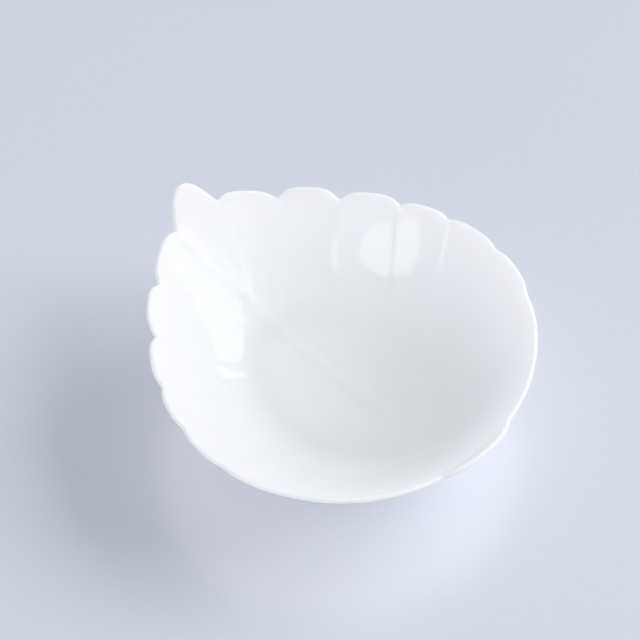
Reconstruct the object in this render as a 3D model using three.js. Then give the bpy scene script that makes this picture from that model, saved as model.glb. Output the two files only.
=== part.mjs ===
// A leaf-shaped bowl of white opal glass, pressed in one piece.
// Millimetres, +Z up. The tip of the leaf points along +Y, and the bowl stands on its foot at Z = 0.
// Angles run from the tip round the middle of the bowl. The two halves of the leaf mirror each other.

import * as THREE from 'three';

const DEGREE = Math.PI / 180;

// Rim in plan at the bottom of its notches: an egg, drawn out to a point at the tip
const RIM_HALF_WIDTH = 72.8;
const RIM_TIP_LENGTH = 70.6;
const RIM_BASE_LENGTH = 63;
const POINT_REACH = 15.2;
const POINT_SPREAD = 27.6 * DEGREE;

// Height of the rim above the inner floor at the bottom of its notches
const SIDE_HEIGHT = 27.9;
const POINT_RISE = 7.5;
const POINT_RISE_SPREAD = 17.5 * DEGREE;
const BASE_DROP = 8.2;
const BASE_DROP_START = 70 * DEGREE;
const BASE_DROP_END = 180 * DEGREE;

// Midrib of the inner face, by the lengths from the middle of the bowl to its two ends
const MIDRIB_TIP_END = 72;
const MIDRIB_BASE_END = -45;
const MIDRIB_HEIGHT = 0.7;
const MIDRIB_HALF_WIDTH = 2.4;

// Notches of one half of the rim, from the tip to the base. A vein runs to each from its root on the midrib.
// lobe is how far the rim stands out in plan between a notch and the next
const NOTCHES = [
  { angle: 7.8 * DEGREE, root: 57, lobe: 1.8 },
  { angle: 23.3 * DEGREE, root: 42, lobe: 2.9 },
  { angle: 41.8 * DEGREE, root: 8.4, lobe: 2.1 },
  { angle: 61 * DEGREE, root: -25, lobe: 1.3 },
  { angle: 76.8 * DEGREE, root: MIDRIB_BASE_END, lobe: 1.1 },
  { angle: 95 * DEGREE, root: MIDRIB_BASE_END, lobe: 0.9 },
  { angle: 113.5 * DEGREE, root: MIDRIB_BASE_END, lobe: 0.5 },
  { angle: 163 * DEGREE, root: MIDRIB_BASE_END, lobe: 3 },
];
const VEIN_HEIGHT = 0.4;
const VEIN_HALF_WIDTH = 1.5;
const SCOOP_DEPTH = 0.4;
const LOBE_SQUARENESS = 3.5;
const TIP_LOBE = 7.6;
const TIP_SQUARENESS = 2.2;

// Flat inner floor, an egg about the same middle, and the wall that curves up from it
const FLOOR_HALF_WIDTH = 30;
const FLOOR_TIP_LENGTH = 43;
const FLOOR_BASE_LENGTH = 37;
const WALL_CURVE = 1.6;
const GLASS_THICKNESS = 3.6;

// Foot: a tall ring under the edge of the floor
const FOOT_HEIGHT = 13;
const FOOT_WIDTH = 6;
const FOOT_OVERHANG = 3;
const FOOT_TAPER = 1.2;

// Fineness of the surface
const COLUMN_PITCH = 2.8 * DEGREE;
const INNER_STEPS = 16;
const INNER_CROWDING = 0.85;
const LIP_STEPS = 5;
const OUTER_STEPS = 8;
const SEARCH_STEPS = 40;
const SLOPE_STEP = 0.01;

const FLOOR_HEIGHT = FOOT_HEIGHT + GLASS_THICKNESS;
const FOOT_INNER_INSET = FOOT_WIDTH - FOOT_OVERHANG;
const UNDER_TIP_END = FLOOR_TIP_LENGTH - FOOT_WIDTH;
const UNDER_BASE_END = FOOT_WIDTH - FLOOR_BASE_LENGTH;

const bell = (distance, width) => Math.exp(-((distance / width) ** 2));
const planPoint = (angle, radius) => new THREE.Vector2(Math.sin(angle), Math.cos(angle)).multiplyScalar(radius);
const angleOf = (point) => Math.atan2(point.x, point.y);

function eggRadius(angle, halfWidth, tipLength, baseLength) {
  const length = Math.cos(angle) > 0 ? tipLength : baseLength;
  return 1 / Math.hypot(Math.sin(angle) / halfWidth, Math.cos(angle) / length);
}

function notchRadius(angle) {
  const egg = eggRadius(angle, RIM_HALF_WIDTH, RIM_TIP_LENGTH, RIM_BASE_LENGTH);
  return egg + POINT_REACH * bell(angle, POINT_SPREAD);
}

function notchHeight(angle) {
  const along = THREE.MathUtils.inverseLerp(BASE_DROP_START, BASE_DROP_END, Math.abs(angle));
  const drop = (1 - Math.cos(Math.PI * THREE.MathUtils.clamp(along, 0, 1))) / 2;
  return SIDE_HEIGHT + POINT_RISE * bell(angle, POINT_RISE_SPREAD) - BASE_DROP * drop;
}

function floorRadius(angle, inset = 0) {
  return eggRadius(angle, FLOOR_HALF_WIDTH - inset, FLOOR_TIP_LENGTH - inset, FLOOR_BASE_LENGTH - inset);
}

// Share of the way from the edge of the floor to the rim's notches, in plan
function wallShare(point) {
  const angle = angleOf(point);
  const floor = floorRadius(angle);
  return Math.max((point.length() - floor) / (notchRadius(angle) - floor), 0);
}

function bowlHeight(point) {
  return notchHeight(angleOf(point)) * wallShare(point) ** WALL_CURVE;
}

function distanceToLine(point, [start, end]) {
  const line = end.clone().sub(start);
  const share = THREE.MathUtils.clamp(point.clone().sub(start).dot(line) / line.lengthSq(), 0, 1);
  return point.distanceTo(start.clone().addScaledVector(line, share));
}

// Stations along one half of the rim: the tip, the notches and the base
const STATIONS = [
  { angle: 0, root: NOTCHES[0].root, lobe: TIP_LOBE },
  ...NOTCHES,
  { angle: Math.PI, root: MIDRIB_BASE_END },
];

const MIDRIB = [new THREE.Vector2(0, MIDRIB_BASE_END), new THREE.Vector2(0, MIDRIB_TIP_END)];
const VEINS = NOTCHES.map(({ angle, root }) => [
  new THREE.Vector2(0, root),
  planPoint(angle, notchRadius(angle)),
]);

function reliefHeight(point) {
  const folded = new THREE.Vector2(Math.abs(point.x), point.y);
  const midrib = MIDRIB_HEIGHT * bell(distanceToLine(folded, MIDRIB), MIDRIB_HALF_WIDTH);
  const veins = VEINS.map((vein) => VEIN_HEIGHT * bell(distanceToLine(folded, vein), VEIN_HALF_WIDTH));
  return Math.max(midrib, ...veins);
}

// Columns run straight in plan from the midrib to the rim, so each vein lies along one of them.
// Under the bowl they run from the rim to a line inside the foot.
// across is the place on the lobe, from -1 at one notch to 1 at the next, and 0 on the midrib
function panelColumns(index) {
  const [from, to] = [STATIONS[index], STATIONS[index + 1]];
  const isTip = index === 0;
  const isBase = index === STATIONS.length - 2;
  const flank = VEIN_HALF_WIDTH / RIM_HALF_WIDTH;
  const first = isTip ? from.angle : from.angle + flank;
  const last = isBase ? to.angle : to.angle - flank;
  const count = Math.max(Math.round((last - first) / COLUMN_PITCH), 2);
  const steps = Array.from({ length: count + 1 }, (_, step) => THREE.MathUtils.lerp(first, last, step / count));
  return (isTip ? steps : [from.angle, ...steps]).map((angle) => {
    const share = (angle - from.angle) / (to.angle - from.angle);
    const across = THREE.MathUtils.lerp(isTip ? 0 : -1, isBase ? 0 : 1, share);
    const squareness = isTip ? TIP_SQUARENESS : LOBE_SQUARENESS;
    const lobe = from.lobe * (1 - Math.abs(across) ** squareness);
    const root = THREE.MathUtils.lerp(from.root, to.root, share);
    return {
      root: new THREE.Vector2(0, root),
      under: new THREE.Vector2(0, THREE.MathUtils.clamp(root, UNDER_BASE_END, UNDER_TIP_END)),
      rim: planPoint(angle, notchRadius(angle) + lobe),
      scoop: SCOOP_DEPTH * (1 - across ** 2),
    };
  });
}

function mirrored(column) {
  return { ...column, rim: new THREE.Vector2(-column.rim.x, column.rim.y) };
}

function allColumns() {
  const half = STATIONS.slice(0, -1).flatMap((_, index) => panelColumns(index));
  return [...half, ...half.slice(1, -1).reverse().map(mirrored)];
}

const innerPlan = (column, share) => column.root.clone().lerp(column.rim, share);
const outerPlan = (column, share) => column.under.clone().lerp(column.rim, share);

// Place where a column's outer side crosses the floor's outline, moved in by an inset
function crossing(column, inset) {
  let [inside, outside] = [0, 1];
  for (let step = 0; step < SEARCH_STEPS; step += 1) {
    const middle = (inside + outside) / 2;
    const point = outerPlan(column, middle);
    if (point.length() < floorRadius(angleOf(point), inset)) inside = middle;
    else outside = middle;
  }
  return outerPlan(column, inside);
}

// Plain inner face with its scoops, without the veins
function facePoint(column, point) {
  const rise = THREE.MathUtils.inverseLerp(wallShare(column.root), 1, wallShare(point));
  const scoop = column.scoop * THREE.MathUtils.clamp(rise, 0, 1);
  return new THREE.Vector3(point.x, point.y, FLOOR_HEIGHT + bowlHeight(point) - scoop);
}

function innerPoint(column, point) {
  const face = facePoint(column, point);
  face.z += reliefHeight(point);
  return face;
}

// Unit vectors of the plain bowl at a place: out of its inner face, and straight up its wall
function wallAxes(point) {
  const slope = (x, y) => {
    const [ahead, behind] = [1, -1].map((sign) => new THREE.Vector2(point.x + sign * x, point.y + sign * y));
    return (bowlHeight(ahead) - bowlHeight(behind)) / (2 * SLOPE_STEP);
  };
  const [dx, dy] = [slope(SLOPE_STEP, 0), slope(0, SLOPE_STEP)];
  const normal = new THREE.Vector3(-dx, -dy, 1).normalize();
  const uphill = new THREE.Vector3(dx, dy, dx * dx + dy * dy).normalize();
  return { normal, uphill };
}

function outerPoint(column, point) {
  return facePoint(column, point).addScaledVector(wallAxes(point).normal, -GLASS_THICKNESS);
}

// Half-round lip from the top of the inner face over to the top of the outer face
function lipPoints(column) {
  const top = facePoint(column, column.rim);
  const { normal, uphill } = wallAxes(column.rim);
  const radius = GLASS_THICKNESS / 2;
  const middle = top.clone().addScaledVector(normal, -radius);
  return Array.from({ length: LIP_STEPS }, (_, step) => {
    const turn = (Math.PI * (step + 1)) / (LIP_STEPS + 1);
    const point = middle.clone().addScaledVector(normal, radius * Math.cos(turn));
    return point.addScaledVector(uphill, radius * Math.sin(turn));
  });
}

// One column's section, from the midrib up the inner face, over the lip, down the outer face and under the foot
function sectionOf(column) {
  const innerStart = MIDRIB_HALF_WIDTH / column.root.distanceTo(column.rim);
  const innerShares = Array.from({ length: INNER_STEPS + 1 }, (_, step) =>
    THREE.MathUtils.lerp(innerStart, 1, (step / INNER_STEPS) ** INNER_CROWDING),
  );
  const footEdge = crossing(column, -FOOT_OVERHANG);
  const outerPlaces = Array.from({ length: OUTER_STEPS + 1 }, (_, step) =>
    column.rim.clone().lerp(footEdge, step / OUTER_STEPS),
  );
  const level = (point, height) => new THREE.Vector3(point.x, point.y, height);
  return [
    innerPoint(column, column.root),
    ...innerShares.map((share) => innerPoint(column, innerPlan(column, share))),
    ...lipPoints(column),
    ...outerPlaces.map((point) => outerPoint(column, point)),
    level(crossing(column, FOOT_TAPER - FOOT_OVERHANG), 0),
    level(crossing(column, FOOT_INNER_INSET - FOOT_TAPER), 0),
    level(crossing(column, FOOT_INNER_INSET), FOOT_HEIGHT),
    level(column.under, FOOT_HEIGHT),
  ];
}

// Closed surface through neighbouring sections; points at the same place become one
function skin(sections) {
  const places = new Map();
  const positions = [];
  const indexOf = (point) => {
    const key = point.toArray().map((value) => value.toFixed(4)).join(' ');
    if (!places.has(key)) {
      places.set(key, places.size);
      positions.push(...point.toArray());
    }
    return places.get(key);
  };
  const rings = sections.map((section) => section.map(indexOf));
  const triangles = rings.flatMap((ring, side) => {
    const next = rings[(side + 1) % rings.length];
    return ring.slice(1).flatMap((_, row) => [
      [ring[row], next[row], next[row + 1]],
      [ring[row], next[row + 1], ring[row + 1]],
    ]);
  });
  const whole = triangles.filter(([a, b, c]) => a !== b && b !== c && c !== a);
  const geometry = new THREE.BufferGeometry();
  geometry.setAttribute('position', new THREE.Float32BufferAttribute(positions, 3));
  geometry.setIndex(whole.flat());
  return geometry;
}

// The middle of the finished bowl's length comes over the origin
function leafBowl() {
  const geometry = skin(allColumns().map(sectionOf));
  geometry.computeBoundingBox();
  const { min, max } = geometry.boundingBox;
  geometry.translate(0, -(min.y + max.y) / 2, 0);
  geometry.computeVertexNormals();
  const opalGlass = new THREE.MeshStandardMaterial({ color: 0xf3f5f6, roughness: 0.08, metalness: 0 });
  const mesh = new THREE.Mesh(geometry, opalGlass);
  mesh.name = 'leaf_bowl';
  return mesh;
}

const model = new THREE.Group();
model.add(leafBowl());

export default model;
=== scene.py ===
"""A leaf-shaped dish of white opal glass, pressed in one piece, on a pale table.

The dish is a plain bowl whose surface follows a rule, with a lobed rim. A tree of geometry nodes then raises
the midrib and the veins on its inner face and hollows the panels between them. Lengths are in millimetres
until a mesh is made, and in metres from there on.
"""

from __future__ import annotations

import logging
import math
from dataclasses import dataclass, field
from enum import Enum, IntEnum

import bpy
import numpy as np
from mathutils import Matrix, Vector

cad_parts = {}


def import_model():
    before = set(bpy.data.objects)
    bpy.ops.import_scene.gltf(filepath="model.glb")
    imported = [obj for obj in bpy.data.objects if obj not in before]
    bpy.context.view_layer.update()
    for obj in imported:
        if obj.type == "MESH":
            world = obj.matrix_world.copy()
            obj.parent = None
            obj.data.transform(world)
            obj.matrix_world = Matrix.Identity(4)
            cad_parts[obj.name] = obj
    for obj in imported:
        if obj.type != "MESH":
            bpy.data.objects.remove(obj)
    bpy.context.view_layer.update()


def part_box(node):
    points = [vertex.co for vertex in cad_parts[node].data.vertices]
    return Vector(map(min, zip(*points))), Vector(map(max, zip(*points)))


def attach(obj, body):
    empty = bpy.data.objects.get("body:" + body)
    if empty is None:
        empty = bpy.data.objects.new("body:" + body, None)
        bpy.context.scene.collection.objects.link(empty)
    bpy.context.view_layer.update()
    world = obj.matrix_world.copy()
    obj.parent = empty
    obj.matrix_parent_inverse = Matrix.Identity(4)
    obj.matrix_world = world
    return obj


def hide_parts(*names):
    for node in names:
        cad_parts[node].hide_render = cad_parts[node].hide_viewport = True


LOG = logging.getLogger("leaf_dish")
MM = 0.001
LEAST_SLOPE = 1e-9

Socket = bpy.types.NodeSocket
Colour = tuple[float, float, float]
Span = tuple[float, float]
UNIT: Span = (0.0, 1.0)


class Line(IntEnum):
    """What a point of the blank belongs to: the glass itself or one of the lines drawn for its relief."""

    GLASS = 0
    MIDRIB = 1
    EVEN_VEIN = 2
    ODD_VEIN = 3
    SIDE_VEIN = 4
    BOLD_VEIN = 5


class Tag(str, Enum):
    """Names of the values that each point of the glass carries.

    LINE says what the point belongs to, and INNER and LIP are 1 on the inner face and on the lip. RISE goes
    from 0 on the floor to 1 at the rim.
    """

    LINE = "line"
    INNER = "inner"
    RISE = "rise"
    LIP = "lip"


class Field:
    """A number in a node tree that can be reckoned with like a plain one."""

    def __init__(self, board: Board, socket: Socket) -> None:
        """Keeps the socket that gives the number."""
        self.board = board
        self.socket = socket

    def math(self, operation: str, *others: Field | float) -> Field:
        """Joins this number with others by a Math node.

        Args:
            operation: The Math node's operation.
            others: The node's further inputs.

        Returns:
            The result.
        """
        node = self.board.node("ShaderNodeMath", operation=operation)
        for socket, value in zip(node.inputs, (self, *others)):
            if isinstance(value, Field):
                self.board.link(value.socket, socket)
            else:
                socket.default_value = value
        return Field(self.board, node.outputs["Value"])

    def __add__(self, other: Field | float) -> Field:
        """The sum of the two."""
        return self.math("ADD", other)

    def __sub__(self, other: Field | float) -> Field:
        """The difference of the two."""
        return self.math("SUBTRACT", other)

    def __mul__(self, other: Field | float) -> Field:
        """The product of the two."""
        return self.math("MULTIPLY", other)

    def __truediv__(self, other: Field | float) -> Field:
        """The quotient of the two."""
        return self.math("DIVIDE", other)

    def bell(self, width: Field) -> Field:
        """A bell curve of this distance, 1 at its middle."""
        share = self / width
        return (share * share * -1.0).math("EXPONENT")


class Board:
    """A node tree that nodes are added to and linked on."""

    def __init__(self, tree: bpy.types.NodeTree) -> None:
        """Keeps the tree."""
        self.tree = tree

    @classmethod
    def of_material(cls, material: bpy.types.Material) -> Board:
        """Starts a board on a new material."""
        material.use_nodes = True
        return cls(material.node_tree)

    def find(self, kind: str) -> bpy.types.Node:
        """The node of a type that the tree started with."""
        return next(node for node in self.tree.nodes if node.type == kind)

    def node(self, kind: str, **settings: object) -> bpy.types.Node:
        """Adds a node.

        Args:
            kind: The node's type.
            settings: Values for its properties.

        Returns:
            The new node.
        """
        node = self.tree.nodes.new(kind)
        for name, value in settings.items():
            setattr(node, name, value)
        return node

    def link(self, source: Socket, target: Socket) -> None:
        """Links one socket to another."""
        self.tree.links.new(source, target)

    def split(self, place: Socket) -> bpy.types.NodeOutputs:
        """Splits a place into its X, Y and Z."""
        node = self.node("ShaderNodeSeparateXYZ")
        self.link(place, node.inputs["Vector"])
        return node.outputs

    def carried(self, tag: Tag) -> Field:
        """A value that the points of the surface carry, for use in a material."""
        return Field(self, self.node("ShaderNodeAttribute", attribute_name=tag.value).outputs["Fac"])

    def noise(self, place: Socket, scale: float, detail: float) -> Socket:
        """Adds a noise pattern at a place and returns its value."""
        node = self.node("ShaderNodeTexNoise")
        self.link(place, node.inputs["Vector"])
        node.inputs["Scale"].default_value = scale
        node.inputs["Detail"].default_value = detail
        return node.outputs["Fac"]

    def span(self, value: Socket, source: Span, result: Span) -> Socket:
        """Turns one span of values into another, with soft ends.

        Args:
            value: The value.
            source: Where the span starts and ends.
            result: What is given at its start and its end.

        Returns:
            The value in the new span.
        """
        node = self.node("ShaderNodeMapRange", interpolation_type="SMOOTHSTEP")
        self.link(value, node.inputs["Value"])
        node.inputs["From Min"].default_value, node.inputs["From Max"].default_value = source
        node.inputs["To Min"].default_value, node.inputs["To Max"].default_value = result
        return node.outputs["Result"]

    def mix(self, share: Socket, first: Socket | Colour, second: Socket | Colour) -> Socket:
        """Mixes two colours.

        Args:
            share: How much of the second one shows.
            first: The first colour.
            second: The second colour.

        Returns:
            The mixed colour.
        """
        node = self.node("ShaderNodeMix", data_type="RGBA")
        self.link(share, node.inputs["Factor"])
        colours = [socket for socket in node.inputs if socket.type == "RGBA"]
        for socket, value in zip(colours, (first, second)):
            if isinstance(value, tuple):
                socket.default_value = (*value, 1.0)
            else:
                self.link(value, socket)
        return next(socket for socket in node.outputs if socket.type == "RGBA")


@dataclass(frozen=True)
class Notch:
    """A notch of the rim's right half, with the vein that runs to it.

    Attributes:
        angle: Degrees from the tip round the middle of the bowl.
        root: Where the vein leaves the midrib, in millimetres from the middle towards the tip.
        lobe: How far the rim stands out in plan between this notch and the next.
        bold: Whether the vein is one of those that stand out most.
    """

    angle: float
    root: float
    lobe: float
    bold: bool = False


@dataclass(frozen=True)
class LeafShape:
    """The rule of the plain bowl: its outline, its heights and its wall, in millimetres and degrees.

    The whole inside lies on a shallow hollow, so that the floor is gently rounded and runs into the wall.

    Attributes:
        rim_half_width: Half of the width of the rim's egg, which touches the bottoms of the notches.
        rim_tip_length: Length of that egg from the middle to its tip end.
        rim_base_length: Length of that egg from the middle to its base end.
        point_reach: How far the leaf's point stands out from the egg.
        point_spread: Degrees over which the point runs out into the egg.
        side_height: Height of the rim above the floor at the sides.
        point_rise: How much higher the rim is at the point.
        point_rise_spread: Degrees over which the rim comes down from the point.
        base_drop: How much lower the rim is at the base.
        base_drop_start: Degrees from the tip at which the rim starts to drop.
        base_drop_end: Degrees from the tip at which the rim is lowest.
        floor_half_width: Half of the width of the floor's egg.
        floor_tip_length: Length of that egg from the middle to its tip end.
        floor_base_length: Length of that egg from the middle to its base end.
        wall_curve: How strongly the wall steepens upwards.
        root_rounding: How softly the wall leaves the floor, as a share of the wall.
        floor_hollow: Depth of the hollow that the whole inside lies on.
        hollow_level: Share of the hollow that is below the floor's own height.
        thickness: Thickness of the wall.
        lip_thickness: Thickness of the lip.
        lip_reach: How far the lip stands up past the line of the rim.
        thinning_start: Share of the wall at which the glass starts to thin towards the lip.
        foot_height: Height of the foot ring.
        foot_width: Width of the foot ring at its top.
        foot_overhang: How far the foot ring stands outside the floor's egg at its top.
        foot_taper: How much each side of the foot ring draws in towards the table.
        midrib_tip_end: Where the midrib ends at the tip, from the middle.
        midrib_base_end: Where the midrib ends at the base, from the middle towards the tip.
        lobe_squareness: How full the lobes are between their notches.
        notch_softness: How softly the lobes run into their notches.
        tip_lobe: How far the lobe at the tip stands out.
        tip_squareness: How full the lobe at the tip is.
        notches: The notches of one half of the rim, from the tip to the base.
    """

    rim_half_width: float = 72.8
    rim_tip_length: float = 70.6
    rim_base_length: float = 63.0
    point_reach: float = 15.2
    point_spread: float = 27.6
    side_height: float = 27.9
    point_rise: float = 7.5
    point_rise_spread: float = 17.5
    base_drop: float = 8.2
    base_drop_start: float = 70.0
    base_drop_end: float = 180.0
    floor_half_width: float = 30.0
    floor_tip_length: float = 43.0
    floor_base_length: float = 37.0
    wall_curve: float = 1.6
    root_rounding: float = 0.2
    floor_hollow: float = 13.0
    hollow_level: float = 0.1
    thickness: float = 3.6
    lip_thickness: float = 2.0
    lip_reach: float = 1.3
    thinning_start: float = 0.45
    foot_height: float = 13.0
    foot_width: float = 6.0
    foot_overhang: float = 3.0
    foot_taper: float = 1.2
    midrib_tip_end: float = 72.0
    midrib_base_end: float = -21.0
    lobe_squareness: float = 3.5
    notch_softness: float = 0.3
    tip_lobe: float = 6.7
    tip_squareness: float = 2.2
    notches: tuple[Notch, ...] = (
        Notch(7.8, 57.0, 1.8, bold=True),
        Notch(23.3, 42.0, 2.9),
        Notch(41.8, 8.4, 2.1),
        Notch(61.0, -16.0, 1.3, bold=True),
        Notch(76.8, -21.0, 1.1),
        Notch(95.0, -21.0, 0.9),
        Notch(113.5, -21.0, 0.5),
        Notch(163.0, -21.0, 3.0),
    )

    @property
    def floor_height(self) -> float:
        """Height of the inner floor above the table."""
        return self.foot_height + self.thickness

    @staticmethod
    def egg(angle: np.ndarray, half_width: float, tip: float, base: float) -> np.ndarray:
        """Radius of an egg that is drawn from two half ellipses.

        Args:
            angle: Radians from the tip.
            half_width: Half of the egg's width.
            tip: Length from the middle to the tip.
            base: Length from the middle to the base.

        Returns:
            The radius at each angle.
        """
        length = np.where(np.cos(angle) > 0, tip, base)
        return 1 / np.hypot(np.sin(angle) / half_width, np.cos(angle) / length)

    @staticmethod
    def softened(value: np.ndarray | float, softness: float) -> np.ndarray | float:
        """Rounds off the foot of a slope that rises from 0, which then starts level.

        Args:
            value: The slope's height.
            softness: How much of it is rounded off.

        Returns:
            The softened height, which is 0 and 1 where the slope is.
        """
        return (np.hypot(value, softness) - softness) / (math.hypot(1, softness) - softness)

    @staticmethod
    def polar(plan: np.ndarray) -> tuple[np.ndarray, np.ndarray]:
        """Angle from the tip and distance from the middle of places in plan."""
        return np.arctan2(plan[..., 0], plan[..., 1]), np.hypot(plan[..., 0], plan[..., 1])

    def notch_radius(self, angle: np.ndarray) -> np.ndarray:
        """Radius of the rim in plan at the bottom of its notches."""
        egg = self.egg(angle, self.rim_half_width, self.rim_tip_length, self.rim_base_length)
        return egg + self.point_reach * np.exp(-((angle / math.radians(self.point_spread)) ** 2))

    def notch_height(self, angle: np.ndarray) -> np.ndarray:
        """Height of the rim above the inner floor at the bottom of its notches."""
        start, end = math.radians(self.base_drop_start), math.radians(self.base_drop_end)
        along = np.clip((np.abs(angle) - start) / (end - start), 0, 1)
        drop = self.base_drop * (1 - np.cos(np.pi * along)) / 2
        rise = self.point_rise * np.exp(-((angle / math.radians(self.point_rise_spread)) ** 2))
        return self.side_height + rise - drop

    def floor_radius(self, angle: np.ndarray, inset: float = 0.0) -> np.ndarray:
        """Radius of the floor's outline, moved in by an inset."""
        half_width, tip = self.floor_half_width - inset, self.floor_tip_length - inset
        return self.egg(angle, half_width, tip, self.floor_base_length - inset)

    def wall_share(self, plan: np.ndarray) -> np.ndarray:
        """Share of the way from the edge of the floor to the rim's notches, in plan."""
        angle, distance = self.polar(plan)
        floor = self.floor_radius(angle)
        return np.maximum((distance - floor) / (self.notch_radius(angle) - floor), 0)

    def thinning(self, plan: np.ndarray) -> np.ndarray:
        """How far the inner face is set back where the glass thins towards its lip."""
        share = (self.wall_share(plan) - self.thinning_start) / (1 - self.thinning_start)
        return (self.thickness - self.lip_thickness) * np.clip(share, 0, 1) ** 2

    def height(self, plan: np.ndarray) -> np.ndarray:
        """Height of the plain inner face above the inner floor."""
        angle, distance = self.polar(plan)
        hollow = self.floor_hollow * ((distance / self.notch_radius(angle)) ** 2 - self.hollow_level)
        wall = self.notch_height(angle) - self.floor_hollow * (1 - self.hollow_level)
        return hollow + wall * self.softened(self.wall_share(plan), self.root_rounding) ** self.wall_curve

    def wall_axes(self, plan: np.ndarray, step: float = 0.01) -> tuple[np.ndarray, np.ndarray]:
        """Unit vectors of the plain inner face.

        Args:
            plan: Places in plan.
            step: Distance over which the slope is measured.

        Returns:
            The vectors out of the face, and those straight up its wall.
        """
        across, along = np.array([step, 0.0]), np.array([0.0, step])
        slope_x = (self.height(plan + across) - self.height(plan - across)) / (2 * step)
        slope_y = (self.height(plan + along) - self.height(plan - along)) / (2 * step)
        normal = np.stack([-slope_x, -slope_y, np.ones_like(slope_x)], -1)
        uphill = np.stack([slope_x, slope_y, slope_x**2 + slope_y**2], -1)
        steepness = np.maximum(np.linalg.norm(uphill, axis=-1, keepdims=True), LEAST_SLOPE)
        return normal / np.linalg.norm(normal, axis=-1, keepdims=True), uphill / steepness

    def stations(self) -> list[Notch]:
        """The tip, the notches and the base of one half of the rim, in order."""
        tip = Notch(0.0, self.notches[0].root, self.tip_lobe)
        base = Notch(180.0, self.midrib_base_end, 0.0)
        return [tip, *self.notches, base]

    def half_rim(self, pitch: float, crowding: float, fewest: int) -> tuple[np.ndarray, np.ndarray]:
        """Columns along one half of the rim, closest together at its notches.

        A lobe is reckoned from -1 to 1 between its notches. The lobes at the tip and at the base lie on both
        halves of the rim, so only one side of each is made here.

        Args:
            pitch: Degrees between columns, about.
            crowding: How strongly the columns crowd at the notches, from 0 to 1.
            fewest: The least number of columns on a lobe.

        Returns:
            The angle of each column in radians, and how far the rim stands out there.
        """
        stations = self.stations()
        last = len(stations) - 2
        angles, lobes = [], []
        for index, (start, end) in enumerate(zip(stations, stations[1:])):
            sweep = end.angle - start.angle
            even = np.linspace(0, 1, max(round(sweep / pitch), fewest) + 1)
            share = even - crowding * np.sin(2 * np.pi * even) / (2 * np.pi)
            near = 0.0 if index == 0 else -1.0
            far = 0.0 if index == last else 1.0
            squareness = self.tip_squareness if index == 0 else self.lobe_squareness
            full = 1 - np.abs(near + share * (far - near)) ** squareness
            keep = slice(0, None if index == last else -1)
            angles.append(np.radians(start.angle + sweep * share)[keep])
            lobes.append((start.lobe * self.softened(full, self.notch_softness))[keep])
        return np.concatenate(angles), np.concatenate(lobes)


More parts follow.
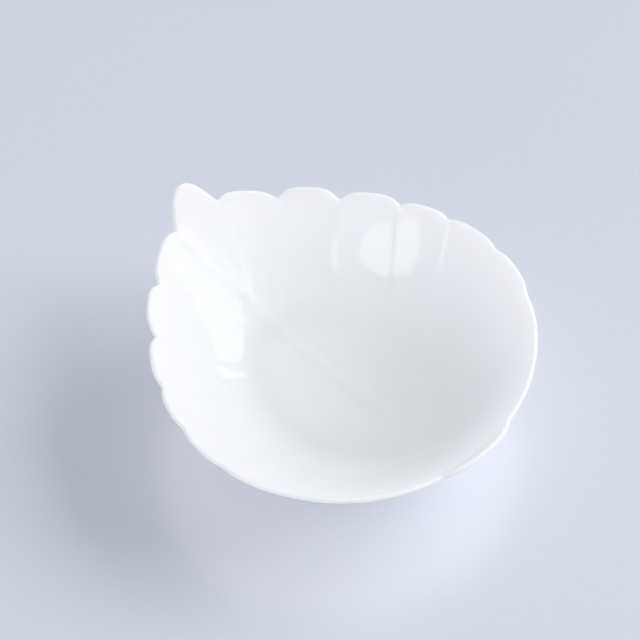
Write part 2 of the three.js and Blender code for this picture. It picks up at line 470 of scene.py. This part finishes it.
@dataclass(frozen=True)
class OpalGlass:
    """White opal glass, milky and glossy, with the faint waves of pressing.

    Inside the bowl painted shade makes it darker and greener towards the floor, and most so at the
    base end, where the painted shade also reaches higher up the wall.

    Attributes:
        deep: Colour of the floor at its tip end, a painted shade.
        deepest: Colour of the floor at its base end, a darker painted shade.
        deep_span: Start and end of the painted shade's darkening, in metres towards the tip.
        body: Colour of the wall.
        cloud: Colour of the wall's lighter clouds.
        edge: Colour of the lip.
        glow: Colour of the light that comes through.
        milkiness: How much light comes through at the floor and at the rim.
        deepening: How slowly the painted shade fades up from the floor, at the sides and at the base.
        deepening_span: Where the painted shade starts and ends its slower fading, in metres towards the tip.
        cloud_scale: How many clouds there are to a metre, about.
        wave_scale: How many waves there are to a metre, about.
        wave_height: Height of the waves in metres.
        gloss: Strength of the mirrored light.
        polish: Least and greatest roughness.
        refraction: How strongly the glass bends light.
    """

    # Painted shade on the floor, darker towards the base end.
    deep: Colour = (0.738, 0.773, 0.778)
    deepest: Colour = (0.65, 0.688, 0.694)
    deep_span: Span = (0.03, -0.05)
    body: Colour = (0.98, 0.976, 0.979)
    cloud: Colour = (0.99, 0.985, 0.988)
    edge: Colour = (0.98, 0.978, 0.982)
    glow: Colour = (0.994, 0.988, 0.99)
    milkiness: Span = (0.3, 0.57)
    # Painted shade: how high it reaches up the wall, higher at the base end.
    deepening: Span = (1.2, 2.8)
    deepening_span: Span = (-0.04, -0.07)
    cloud_scale: float = 38.0
    wave_scale: float = 85.0
    wave_height: float = 0.00004
    gloss: float = 0.2
    polish: Span = (0.03, 0.07)
    refraction: float = 1.5

    def _colour(self, board: Board, along: Socket, clouds: Socket, wall_rise: Field) -> Socket:
        """The colour of the glass: painted shade on the floor, milky up the wall and plain on the lip.

        Args:
            board: The material's board.
            along: How far a point is along the dish.
            clouds: The pattern of the clouds.
            wall_rise: From 0 on the floor to 1 at the rim and outside; the painted shade fades along it.

        Returns:
            The colour.
        """
        # Painted shade fades more slowly up the wall towards the base end, so the base side stays darker
        # higher up.
        shade_reach = Field(board, board.span(along, self.deepening_span, self.deepening))
        # Painted shade: the floor's colour, darker towards the base end.
        shade_colour = board.mix(board.span(along, self.deep_span, UNIT), self.deep, self.deepest)
        glass_colour = board.mix(clouds, self.body, self.cloud)
        shaded_milk = board.mix(wall_rise.math("POWER", shade_reach).socket, shade_colour, glass_colour)
        return board.mix(board.carried(Tag.LIP).socket, shaded_milk, self.edge)

    def _waves(self, board: Board, place: Socket) -> Socket:
        """The slope of the surface with the waves of pressing on it."""
        bump = board.node("ShaderNodeBump")
        bump.inputs["Distance"].default_value = self.wave_height
        board.link(board.noise(place, self.wave_scale, detail=1.0), bump.inputs["Height"])
        return bump.outputs["Normal"]

    def material(self) -> bpy.types.Material:
        """Makes the glass as a node material."""
        material = bpy.data.materials.new("opal_glass")
        board = Board.of_material(material)
        place = board.node("ShaderNodeTexCoord").outputs["Object"]
        clouds = board.noise(place, self.cloud_scale, detail=3.0)
        # Share up the wall, 1 outside: the painted shade fades and more light comes through along it.
        wall_rise = (board.carried(Tag.RISE) - 1.0) * board.carried(Tag.INNER) + 1.0
        skin = board.find("BSDF_PRINCIPLED")
        board.link(self._colour(board, board.split(place)["Y"], clouds, wall_rise), skin.inputs["Base Color"])
        board.link(board.span(clouds, UNIT, self.polish), skin.inputs["Roughness"])
        board.link(self._waves(board, place), skin.inputs["Normal"])
        skin.inputs["IOR"].default_value = self.refraction
        skin.inputs["Specular IOR Level"].default_value = self.gloss
        through = board.node("ShaderNodeBsdfTranslucent")
        through.inputs["Color"].default_value = (*self.glow, 1.0)
        blend = board.node("ShaderNodeMixShader")
        board.link(board.span(wall_rise.socket, UNIT, self.milkiness), blend.inputs["Fac"])
        board.link(skin.outputs["BSDF"], blend.inputs[1])
        board.link(through.outputs["BSDF"], blend.inputs[2])
        board.link(blend.outputs["Shader"], board.find("OUTPUT_MATERIAL").inputs["Surface"])
        return material


@dataclass(frozen=True)
class SatinFloor:
    """A pale blue-grey table top, polished enough to mirror softly what stands on it.

    Attributes:
        colour: Colour of the table.
        shade: Colour of its faintly darker mottles.
        mottle_scale: How many mottles there are to a metre, about.
        roughness: How soft the mirrored light is.
        refraction: How strongly it mirrors.
    """

    colour: Colour = (0.638, 0.666, 0.742)
    shade: Colour = (0.628, 0.656, 0.732)
    mottle_scale: float = 6.0
    roughness: float = 0.3
    refraction: float = 2.6

    def material(self) -> bpy.types.Material:
        """Makes the table top as a node material."""
        material = bpy.data.materials.new("satin_floor")
        board = Board.of_material(material)
        place = board.node("ShaderNodeTexCoord").outputs["Object"]
        mottle = board.noise(place, self.mottle_scale, detail=2.0)
        skin = board.find("BSDF_PRINCIPLED")
        board.link(board.mix(mottle, self.shade, self.colour), skin.inputs["Base Color"])
        skin.inputs["Roughness"].default_value = self.roughness
        skin.inputs["IOR"].default_value = self.refraction
        return material


@dataclass(frozen=True)
class ReliefSizes:
    """Sizes of the relief on the inner face, in millimetres, by the names of the tree's inputs.

    A ridge is a bell curve, which has sunk to about a third of its height at its half width. The floor share
    is the share of a vein's height that is left on the floor.
    """

    midrib_height: float = 0.28
    midrib_half_width: float = 3.0
    bold_vein_height: float = 0.34
    bold_vein_half_width: float = 1.8
    vein_height: float = 0.28
    vein_half_width: float = 2.0
    side_vein_height: float = 0.06
    side_vein_half_width: float = 1.4
    floor_share: float = 0.3
    scoop_depth: float = 0.35
    ripple_height: float = 0.05

    def inputs(self) -> dict[str, float]:
        """The tree's named inputs in metres, with shares as they are."""
        plain = {name: getattr(self, name) for name in self.__dataclass_fields__}
        return {
            name.replace("_", " ").title(): value if name.endswith("share") else value * MM
            for name, value in plain.items()
        }


class ReliefTree:
    """Geometry nodes that raise the midrib and the veins and hollow the panels between them.

    Attributes:
        RIPPLE_SCALE: How many ripples there are to a metre, about.
        RIPPLE_MIDDLE: The middle of the noise that makes the ripple.
        JOIN_ROUNDING: How softly the veins run into the midrib, in metres.
        FADE_SPAN: Where along the dish the veins are faintest and where they show fully, in metres.
        FAINTEST: Share of the veins that is left where they are faintest.
        COMPARED: Places of the Compare node's two inputs for whole numbers.
    """

    RIPPLE_SCALE = 55.0
    RIPPLE_MIDDLE = 0.5
    JOIN_ROUNDING = 0.0003
    FADE_SPAN: Span = (-0.055, 0.0)
    FAINTEST = 0.2
    COMPARED = (2, 3)

    def __init__(self, sizes: ReliefSizes) -> None:
        """Starts the tree with one named input for each size."""
        tree = bpy.data.node_groups.new("leaf_relief", "GeometryNodeTree")
        self.board = Board(tree)
        self._input("Geometry", "NodeSocketGeometry")
        for name in sizes.inputs():
            self._input(name, "NodeSocketFloat")
        self._input("Glass", "NodeSocketMaterial")
        tree.interface.new_socket("Geometry", in_out="OUTPUT", socket_type="NodeSocketGeometry")
        self.start = self.board.node("NodeGroupInput")

    def _input(self, name: str, kind: str) -> None:
        """Adds a named input to the tree."""
        self.board.tree.interface.new_socket(name, in_out="INPUT", socket_type=kind)

    def _size(self, name: str) -> Field:
        """One of the named sizes, as a number in the tree."""
        return Field(self.board, self.start.outputs[name])

    def _carried(self, tag: Tag, kind: str = "FLOAT") -> Field:
        """A value that the points carry."""
        node = self.board.node("GeometryNodeInputNamedAttribute", data_type=kind)
        node.inputs["Name"].default_value = tag.value
        return Field(self.board, node.outputs["Attribute"])

    def _part(self, line: Line) -> Socket:
        """The part of the blank that belongs to the glass or to one kind of line."""
        compare = self.board.node("FunctionNodeCompare", data_type="INT", operation="EQUAL")
        carried, wanted = (compare.inputs[place] for place in self.COMPARED)
        self.board.link(self._carried(Tag.LINE, "INT").socket, carried)
        wanted.default_value = int(line)
        part = self.board.node("GeometryNodeSeparateGeometry", domain="POINT")
        self.board.link(self.start.outputs["Geometry"], part.inputs["Geometry"])
        self.board.link(compare.outputs["Result"], part.inputs["Selection"])
        return part.outputs["Selection"]

    def _place(self) -> bpy.types.NodeOutputs:
        """Each point's X, Y and Z."""
        return self.board.split(self.board.node("GeometryNodeInputPosition").outputs["Position"])

    def _plan(self) -> Socket:
        """Each point's place in plan."""
        place = self._place()
        flat = self.board.node("ShaderNodeCombineXYZ")
        for axis in "XY":
            self.board.link(place[axis], flat.inputs[axis])
        return flat.outputs["Vector"]

    def _fade(self) -> Field:
        """How strongly the veins show: fully in the tip's half, and faintly towards the base."""
        return Field(self.board, self.board.span(self._place()["Y"], self.FADE_SPAN, (self.FAINTEST, 1.0)))

    def _distance(self, plan: Socket, line: Line) -> Field:
        """How far each point is in plan from the nearest line of one kind."""
        near = self.board.node("GeometryNodeProximity", target_element="EDGES")
        self.board.link(self._part(line), near.inputs[0])
        self.board.link(plan, near.inputs["Source Position"])
        return Field(self.board, near.outputs["Distance"])

    def _ridge(self, distance: Field, name: str) -> Field:
        """Height of a ridge at a distance from its line."""
        return distance.bell(self._size(f"{name} Half Width")) * self._size(f"{name} Height")

    def _ridges(self, plan: Socket, vein: Field, rise: Field, fade: Field) -> Field:
        """Height of the midrib and of all the veins.

        Args:
            plan: Each point's place in plan.
            vein: Its distance from the nearest vein.
            rise: How far up the wall it is.
            fade: How strongly the veins show there.

        Returns:
            The height of the highest ridge at each point, with the veins run softly into the midrib.
        """
        floor_share = self._size("Floor Share")
        strength = (floor_share + rise * (floor_share * -1.0 + 1.0)) * fade
        bold = self._ridge(self._distance(plan, Line.BOLD_VEIN), "Bold Vein")
        veins = self._ridge(vein, "Vein").math("MAXIMUM", bold) * strength
        below_rim = (rise * -1.0 + 1.0).math("MAXIMUM", 0.0)
        side_veins = self._ridge(self._distance(plan, Line.SIDE_VEIN), "Side Vein") * below_rim
        midrib = self._ridge(self._distance(plan, Line.MIDRIB), "Midrib")
        return veins.math("MAXIMUM", side_veins).math("SMOOTH_MAX", midrib, self.JOIN_ROUNDING)

    def _hollow(self, even: Field, odd: Field) -> Field:
        """Depth of the hollow between two veins, none on them and most midway."""
        both = even + odd
        panel = even * odd * 4.0 / (both * both)
        return panel * panel * self._size("Scoop Depth")

    def _ripple(self) -> Field:
        """Height of the ripple, above and below the plain face."""
        noise = self.board.node("ShaderNodeTexNoise")
        noise.inputs["Scale"].default_value = self.RIPPLE_SCALE
        return (Field(self.board, noise.outputs["Fac"]) - self.RIPPLE_MIDDLE) * self._size("Ripple Height")

    def _relief(self) -> Field:
        """How far each point moves up: the ridges and the ripple less the hollows."""
        plan, fade = self._plan(), self._fade()
        rise, inner = self._carried(Tag.RISE), self._carried(Tag.INNER)
        even = self._distance(plan, Line.EVEN_VEIN)
        odd = self._distance(plan, Line.ODD_VEIN)
        ridges = self._ridges(plan, even.math("MINIMUM", odd), rise, fade)
        return ridges * inner + self._ripple() * inner - self._hollow(even, odd) * rise * fade

    def build(self) -> bpy.types.NodeTree:
        """Finishes the tree.

        Returns:
            The tree, from the blank to the finished glass.
        """
        board = self.board
        lift = board.node("ShaderNodeCombineXYZ")
        board.link(self._relief().socket, lift.inputs["Z"])
        move = board.node("GeometryNodeSetPosition")
        board.link(lift.outputs["Vector"], move.inputs["Offset"])
        dress = board.node("GeometryNodeSetMaterial")
        board.link(self.start.outputs["Glass"], dress.inputs["Material"])
        smooth = board.node("GeometryNodeSetShadeSmooth")
        real = board.node("GeometryNodeRealizeInstances")
        shaped = self._part(Line.GLASS)
        for step in (move, smooth, real, dress):
            board.link(shaped, step.inputs["Geometry"])
            shaped = step.outputs["Geometry"]
        board.link(shaped, board.node("NodeGroupOutput").inputs["Geometry"])
        return board.tree


@dataclass
class LeafBowl:
    """The dish: the plain bowl with its lip and foot, dressed with its relief and its glass.

    Its points lie on rows round the bowl and on columns, which run from the middle of the floor over the rim
    to the middle of the underside.

    Attributes:
        shape: The rule of the plain bowl.
        relief: Sizes of its relief.
        glass: Its finish.
        column_pitch: Degrees between columns, about.
        column_crowding: How strongly the columns crowd at the notches, from 0 to 1.
        fewest_columns: The least number of columns on a lobe.
        inner_rows: Rows on the inner face.
        lip_rows: Rows over the lip.
        outer_rows: Rows on the outer face.
        corner_rows: Rows round each edge of the foot ring.
        under_rows: Rows across the underside.
        foot_rounding: Rounding of the foot ring's edges in millimetres.
    """

    shape: LeafShape = field(default_factory=LeafShape)
    relief: ReliefSizes = field(default_factory=ReliefSizes)
    glass: OpalGlass = field(default_factory=OpalGlass)
    column_pitch: float = 0.55
    column_crowding: float = 0.6
    fewest_columns: int = 6
    inner_rows: int = 72
    lip_rows: int = 10
    outer_rows: int = 18
    corner_rows: int = 4
    under_rows: int = 4
    foot_rounding: float = 0.6

    def _columns(self) -> tuple[np.ndarray, np.ndarray]:
        """Angles of all the columns round the rim, and the rim's place in plan at each."""
        angle, lobe = self.shape.half_rim(self.column_pitch, self.column_crowding, self.fewest_columns)
        angle = np.concatenate([angle, -angle[-2:0:-1]])
        lobe = np.concatenate([lobe, lobe[-2:0:-1]])
        return angle, self._spoke(angle, self.shape.notch_radius(angle) + lobe)

    @staticmethod
    def _spoke(angle: np.ndarray, radius: np.ndarray) -> np.ndarray:
        """Places in plan at a radius along each column."""
        return np.stack([np.sin(angle) * radius, np.cos(angle) * radius], -1)

    def _face(self, plan: np.ndarray) -> np.ndarray:
        """Points of the plain inner face above places in plan."""
        return np.concatenate([plan, (self.shape.floor_height + self.shape.height(plan))[..., None]], -1)

    def _inner(self, plan: np.ndarray) -> np.ndarray:
        """Points of the inner face, set back where the glass thins."""
        return self._face(plan) - self.shape.wall_axes(plan)[0] * self.shape.thinning(plan)[..., None]

    def _lip(self, rim: np.ndarray) -> list[np.ndarray]:
        """Rows of the half-round lip, from the inner face over to the outer one."""
        normal, uphill = self.shape.wall_axes(rim)
        radius = self.shape.lip_thickness / 2
        depth, reach = self.shape.thickness - radius, self.shape.lip_reach - radius
        middle = self._face(rim) - normal * depth + uphill * reach
        turns = np.pi * (np.arange(self.lip_rows) + 1) / (self.lip_rows + 1)
        return [middle + radius * (normal * math.cos(turn) + uphill * math.sin(turn)) for turn in turns]

    def _outer(self, rim: np.ndarray, foot: np.ndarray) -> list[np.ndarray]:
        """Rows of the outer face, from the lip down to the foot."""
        rows = []
        for share in np.linspace(0, 1, self.outer_rows + 1):
            plan = rim + (foot - rim) * share
            rows.append(self._face(plan) - self.shape.wall_axes(plan)[0] * self.shape.thickness)
        return rows

    def _foot(self, angle: np.ndarray, top: np.ndarray) -> list[np.ndarray]:
        """Rows round the foot ring and across the underside, with rounded edges.

        Args:
            angle: Angles of the columns.
            top: The lowest row of the outer face.

        Returns:
            The rows, ending at the middle of the underside.
        """
        shape = self.shape
        inset = shape.foot_width - shape.foot_overhang

        def level(moved_in: float, height: float) -> np.ndarray:
            """A level ring at an inset from the floor's outline."""
            plan = self._spoke(angle, shape.floor_radius(angle, moved_in))
            return np.concatenate([plan, np.full((len(angle), 1), height)], -1)

        middle = np.zeros_like(top) + np.array([0.0, 0.0, shape.foot_height])
        corners = [
            top,
            level(shape.foot_taper - shape.foot_overhang, 0.0),
            level(inset - shape.foot_taper, 0.0),
            level(inset, shape.foot_height),
            middle,
        ]
        rows = []
        for before, corner, after in zip(corners, corners[1:], corners[2:]):
            towards, onwards = before - corner, after - corner
            towards *= self.foot_rounding / np.linalg.norm(towards, axis=-1, keepdims=True)
            onwards *= self.foot_rounding / np.linalg.norm(onwards, axis=-1, keepdims=True)
            for share in np.linspace(0, 1, self.corner_rows):
                rows.append(corner + towards * (1 - share) ** 2 + onwards * share**2)
        last = rows[-1]
        rows += [last + (middle - last) * share for share in np.linspace(0, 1, self.under_rows + 1)[1:]]
        return rows

    def _rows(self) -> tuple[np.ndarray, dict[Tag, np.ndarray]]:
        """All rows of the bowl from the middle of its floor to the middle of its underside.

        Returns:
            The points, row by row, and the values that they carry.
        """
        angle, rim = self._columns()
        foot = self._spoke(angle, self.shape.floor_radius(angle, -self.shape.foot_overhang))
        inner = [self._inner(rim * share) for share in np.linspace(0, 1, self.inner_rows + 1)]
        lip = self._lip(rim)
        outer = self._outer(rim, foot)
        under = self._foot(angle, outer[-1])
        rows = np.array(inner + lip + outer + under)
        rise = np.clip(self.shape.wall_share(rows[..., :2]), 0, 1)
        rise[-len(under) :] = 0
        inside, on_lip = np.zeros_like(rise), np.zeros_like(rise)
        inside[: len(inner)] = 1
        on_lip[len(inner) : len(inner) + len(lip)] = 1
        return rows, {Tag.INNER: inside, Tag.RISE: rise, Tag.LIP: on_lip}

    @staticmethod
    def _flat(rows: np.ndarray) -> np.ndarray:
        """All rows one after the other, with the first and the last drawn together to one point."""
        between = rows[1:-1].reshape(-1, *rows.shape[2:])
        return np.concatenate([rows[0, :1], between, rows[-1, :1]])

    @staticmethod
    def _faces(rows: int, columns: int) -> list[tuple[int, ...]]:
        """Faces between the rows, with a fan round the point at either end.

        Args:
            rows: Number of rows, with the two that are drawn together to a point.
            columns: Number of points on each of the others.

        Returns:
            The numbers of each face's points.
        """
        ring = 1 + np.arange(columns)
        pairs = list(zip(ring.tolist(), np.roll(ring, -1).tolist()))
        end_ring, end_point = (rows - 3) * columns, (rows - 2) * columns + 1
        faces = [(0, b, a) for a, b in pairs]
        for low in range(0, end_ring, columns):
            high = low + columns
            faces += [(a + low, b + low, b + high, a + high) for a, b in pairs]
        return faces + [(a + end_ring, b + end_ring, end_point) for a, b in pairs]

    def _lines(self) -> list[tuple[Line, np.ndarray, np.ndarray]]:
        """The midrib and the veins as straight lines in plan, each with its kind and its ends."""
        shape = self.shape
        lines = [(Line.MIDRIB, np.array([0, shape.midrib_base_end]), np.array([0, shape.midrib_tip_end]))]
        stations = shape.stations()
        for index, (notch, after) in enumerate(zip(stations[1:], stations[2:])):
            angle = np.radians([notch.angle, (notch.angle + after.angle) / 2])
            main, side = self._spoke(angle, shape.notch_radius(angle))
            root, side_root = np.array([0, notch.root]), np.array([0, (notch.root + after.root) / 2])
            for mirror in (np.array([1, 1]), np.array([-1, 1])):
                lines.append((Line.EVEN_VEIN if index % 2 else Line.ODD_VEIN, root, main * mirror))
                if notch.bold:
                    lines.append((Line.BOLD_VEIN, root, main * mirror))
                if notch.root != after.root:
                    lines.append((Line.SIDE_VEIN, side_root, side * mirror))
        return lines

    def _blank(self) -> bpy.types.Mesh:
        """The plain bowl as a closed mesh, with the lines of its relief as loose edges below it."""
        rows, tags = self._rows()
        points, lines = self._flat(rows), self._lines()
        ends = np.array([end for _, start, stop in lines for end in (start, stop)])
        drawn = np.concatenate([ends, np.zeros((len(ends), 1))], -1)
        everything = np.concatenate([points, drawn]) + np.array([0.0, self._shift(points), 0.0])
        edges = len(points) + np.arange(len(ends)).reshape(-1, 2)
        mesh = bpy.data.meshes.new("leaf_blank")
        mesh.from_pydata((everything * MM).tolist(), edges.tolist(), self._faces(*rows.shape[:2]))
        kinds = np.repeat([int(kind) for kind, _, _ in lines], 2)
        on_glass = np.full(len(points), int(Line.GLASS))
        self._write(mesh, Tag.LINE, "INT", np.concatenate([on_glass, kinds]).astype(np.int32))
        spare = np.zeros(len(drawn))
        for tag, values in tags.items():
            self._write(mesh, tag, "FLOAT", np.concatenate([self._flat(values), spare]).astype(np.float32))
        return mesh

    @staticmethod
    def _shift(points: np.ndarray) -> float:
        """How far the bowl moves along Y so that its box's middle comes over the node's, in millimetres."""
        low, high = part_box("leaf_bowl")
        return (low.y + high.y) / 2 / MM - (points[:, 1].min() + points[:, 1].max()) / 2

    @staticmethod
    def _write(mesh: bpy.types.Mesh, tag: Tag, kind: str, values: np.ndarray) -> None:
        """Gives each point of a mesh its value of a tag."""
        mesh.attributes.new(tag.value, kind, "POINT").data.foreach_set("value", values)

    def _dress(self, piece: bpy.types.Object) -> None:
        """Gives the blank its relief and its glass, and keeps the result as a plain mesh."""
        tree = ReliefTree(self.relief).build()
        modifier = piece.modifiers.new("relief", "NODES")
        modifier.node_group = tree
        values = {**self.relief.inputs(), "Glass": self.glass.material()}
        for item in tree.interface.items_tree:
            if item.in_out == "INPUT" and item.name in values:
                modifier[item.identifier] = values[item.name]
        graph = bpy.context.evaluated_depsgraph_get()
        finished = bpy.data.meshes.new_from_object(piece.evaluated_get(graph), depsgraph=graph)
        piece.modifiers.remove(modifier)
        piece.data = finished

    def build(self) -> bpy.types.Object:
        """Makes the dish and sets it on the frame.

        Returns:
            The finished piece.
        """
        piece = bpy.data.objects.new("leaf_bowl_glass", self._blank())
        bpy.context.scene.collection.objects.link(piece)
        self._dress(piece)
        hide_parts("leaf_bowl")
        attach(piece, "root")
        LOG.info("%s: %d faces", piece.name, len(piece.data.polygons))
        return piece


class Shape(Enum):
    """Outlines of a softbox."""

    BOX = "RECTANGLE"
    OVAL = "ELLIPSE"


@dataclass(frozen=True)
class Softbox:
    """A soft studio lamp, placed as seen from above the camera.

    Attributes:
        name: The lamp's name.
        turn: Degrees from the picture's right towards its far side.
        elevation: Degrees above the table.
        distance: Metres from the dish.
        size: Width and height in metres.
        power: Watts.
        colour: Colour of the light.
        shape: Outline of the lamp's face.
        casts_shadow: Whether the dish throws a shadow in its light.
    """

    name: str
    turn: float
    elevation: float
    distance: float
    size: tuple[float, float]
    power: float
    colour: Colour = (1.0, 0.995, 0.985)
    shape: Shape = Shape.BOX
    casts_shadow: bool = True

    def build(self, camera: StudioCamera) -> bpy.types.Object:
        """Hangs the lamp.

        Args:
            camera: The camera, whose right gives the turn its start.

        Returns:
            The lamp, aimed at the dish.
        """
        light = bpy.data.lights.new(self.name, "AREA")
        light.shape = self.shape.value
        light.size, light.size_y = self.size
        light.energy = self.power
        light.color = self.colour
        light.use_shadow = self.casts_shadow
        lift = math.radians(self.elevation)
        towards = camera.level_way(self.turn) * math.cos(lift) + Vector((0, 0, math.sin(lift)))
        lamp = bpy.data.objects.new(self.name, light)
        lamp.location = camera.target_point() + towards * self.distance
        lamp.rotation_mode = "QUATERNION"
        lamp.rotation_quaternion = towards.to_track_quat("Z", "Y")
        bpy.context.scene.collection.objects.link(lamp)
        LOG.info("%s: %.1f W", self.name, self.power)
        return lamp


@dataclass(frozen=True)
class StudioCamera:
    """The camera above the dish's left base side, looking down at it.

    Attributes:
        eye: Place of the camera in millimetres.
        target: The point that it looks at, in millimetres.
        lens: Focal length in millimetres.
        sensor: Width of the sensor in millimetres.
        clip: Nearest and farthest distance that it sees, in metres.
    """

    eye: tuple[float, float, float] = (-400.54, -387.44, 702.04)
    target: tuple[float, float, float] = (15.80, 19.79, 16.6)
    lens: float = 126.0
    sensor: float = 36.0
    clip: Span = (0.01, 50.0)

    def target_point(self) -> Vector:
        """The point that the camera looks at, in metres."""
        return Vector(self.target) * MM

    def level_way(self, turn: float) -> Vector:
        """The way along the table at a turn in degrees from the picture's right towards its far side."""
        away = Vector(self.target) - Vector(self.eye)
        away.z = 0.0
        away.normalize()
        right = Vector((away.y, -away.x, 0.0))
        return right * math.cos(math.radians(turn)) + away * math.sin(math.radians(turn))

    def build(self) -> bpy.types.Object:
        """Sets up the scene's camera and returns it."""
        data = bpy.data.cameras.new("studio_camera")
        data.lens = self.lens
        data.sensor_width = self.sensor
        data.clip_start, data.clip_end = self.clip
        camera = bpy.data.objects.new("studio_camera", data)
        camera.location = Vector(self.eye) * MM
        look = self.target_point() - camera.location
        camera.rotation_mode = "QUATERNION"
        camera.rotation_quaternion = look.to_track_quat("-Z", "Y")
        bpy.context.scene.collection.objects.link(camera)
        bpy.context.scene.camera = camera
        return camera


@dataclass
class Studio:
    """The table, the lamps and the soft light all round.

    Attributes:
        camera: The camera.
        floor: Finish of the table.
        floor_reach: How far the table reaches to each side, in metres.
        sky: Colour of the light all round.
        sky_strength: Its mean strength.
        sky_swing: How much stronger it is on its bright side.
        sky_turn: Where its bright side is, in degrees from the picture's right towards its far side.
        softboxes: The lamps.
    """

    camera: StudioCamera = field(default_factory=StudioCamera)
    floor: SatinFloor = field(default_factory=SatinFloor)
    floor_reach: float = 6.0
    sky: Colour = (0.9, 0.95, 1.0)
    sky_strength: float = 0.5
    sky_swing: float = 0.12
    sky_turn: float = -90.0
    softboxes: tuple[Softbox, ...] = (
        Softbox("key_softbox", turn=21.0, elevation=34.5, distance=4.0, size=(4.0, 2.2), power=154.0),
        Softbox(
            "fill_softbox",
            turn=-121.0,
            elevation=56.0,
            distance=1.6,
            size=(0.66, 0.38),
            power=5.6,
            shape=Shape.OVAL,
            casts_shadow=False,
        ),
    )

    def _floor(self) -> None:
        """Lays the table top."""
        reach = self.floor_reach
        mesh = bpy.data.meshes.new("studio_floor")
        corners = [(-reach, -reach, 0.0), (reach, -reach, 0.0), (reach, reach, 0.0), (-reach, reach, 0.0)]
        mesh.from_pydata(corners, [], [(0, 1, 2, 3)])
        mesh.materials.append(self.floor.material())
        floor = bpy.data.objects.new("studio_floor", mesh)
        bpy.context.scene.collection.objects.link(floor)

    def _sky(self) -> None:
        """Lights the room softly, brightest from behind the camera."""
        world = bpy.data.worlds.new("studio_world")
        bpy.context.scene.world = world
        world.use_nodes = True
        board = Board(world.node_tree)
        room = board.find("BACKGROUND")
        room.inputs["Color"].default_value = (*self.sky, 1.0)
        facing = board.node("ShaderNodeVectorMath", operation="DOT_PRODUCT")
        board.link(board.node("ShaderNodeTexCoord").outputs["Generated"], facing.inputs[0])
        facing.inputs[1].default_value = self.camera.level_way(self.sky_turn)
        level = Field(board, facing.outputs["Value"]) * self.sky_swing + self.sky_strength
        board.link(level.socket, room.inputs["Strength"])

    def build(self) -> None:
        """Sets up the camera, the table and the light."""
        self.camera.build()
        self._floor()
        self._sky()
        for softbox in self.softboxes:
            softbox.build(self.camera)
        bpy.context.scene.view_settings.view_transform = "Standard"


def write_sizes() -> None:
    """Brings the view layer up to date.
    """
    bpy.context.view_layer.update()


def main() -> None:
    """Builds the dish and the studio round it."""
    logging.basicConfig(level=logging.INFO, format="%(name)s: %(message)s")
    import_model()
    LeafBowl().build()
    Studio().build()
    write_sizes()


if __name__ == "__main__":
    main()
